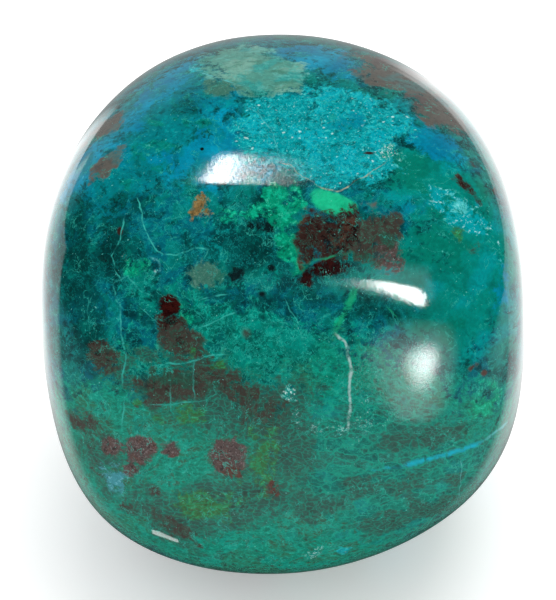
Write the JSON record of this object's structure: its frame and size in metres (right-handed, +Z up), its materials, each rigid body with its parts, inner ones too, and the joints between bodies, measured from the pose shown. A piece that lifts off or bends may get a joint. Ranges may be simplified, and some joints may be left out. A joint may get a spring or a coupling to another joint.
{
  "type": "chrysocolla specimen",
  "caption": "Tumbled and polished chrysocolla pebble with broad rounded flats, a mineral specimen that rests on a small flat of its own.",
  "frame": {"origin": "middle of the bounding box, on the plane of the flat that the pebble rests on", "axes": "+Z up, out of the resting flat; -Y is the side that the picture shows; +X is to that viewer's right, across the pebble's narrowest way"},
  "size_m": [0.0318, 0.0344, 0.0343],
  "materials": {
    "polished_chrysocolla": "polished"
  },
  "bodies": {
    "root": {"chrysocolla_stone": "polished_chrysocolla"}
  },
  "joints": []
}
